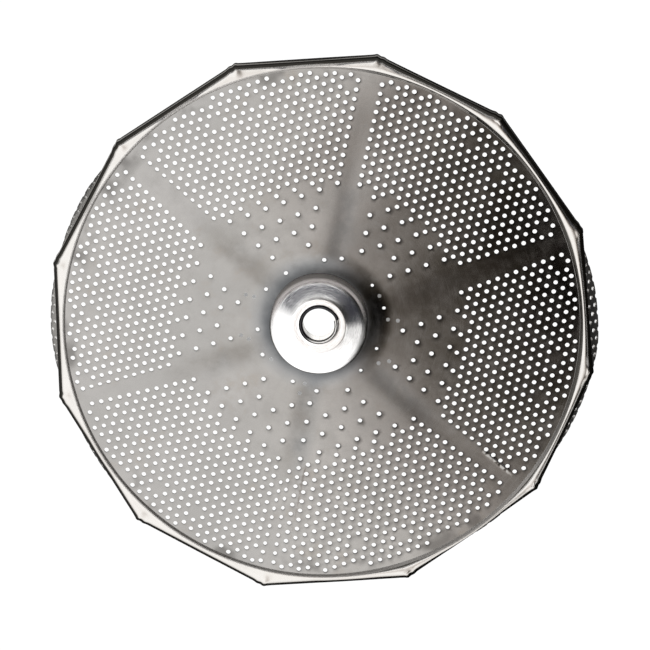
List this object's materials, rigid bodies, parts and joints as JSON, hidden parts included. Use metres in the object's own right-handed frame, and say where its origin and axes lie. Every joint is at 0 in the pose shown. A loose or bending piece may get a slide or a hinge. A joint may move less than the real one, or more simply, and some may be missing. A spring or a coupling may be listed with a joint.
{
  "type": "food mill sieve disc",
  "caption": "Round stainless perforated sieve disc with radial ribs, a folded faceted rim over a perforated skirt, and a bushed centre hub.",
  "frame": {"origin": "on the hub axis, in the plane of the skirt's lower edge, which is the bottom centre of the bounding box", "axes": "+Z along the hub bore, towards the domed food side; +Y along one of the six ribs"},
  "size_m": [0.233, 0.233, 0.0322],
  "materials": {
    "sheet_steel": "satin",
    "polished_steel": "polished",
    "bush_steel": "satin"
  },
  "bodies": {
    "root": {"sieve_plate": "sheet_steel", "skirt_hoop": "sheet_steel", "hub_cap": "polished_steel", "hub_bush": "bush_steel", "hub_washer": "bush_steel"}
  },
  "joints": []
}
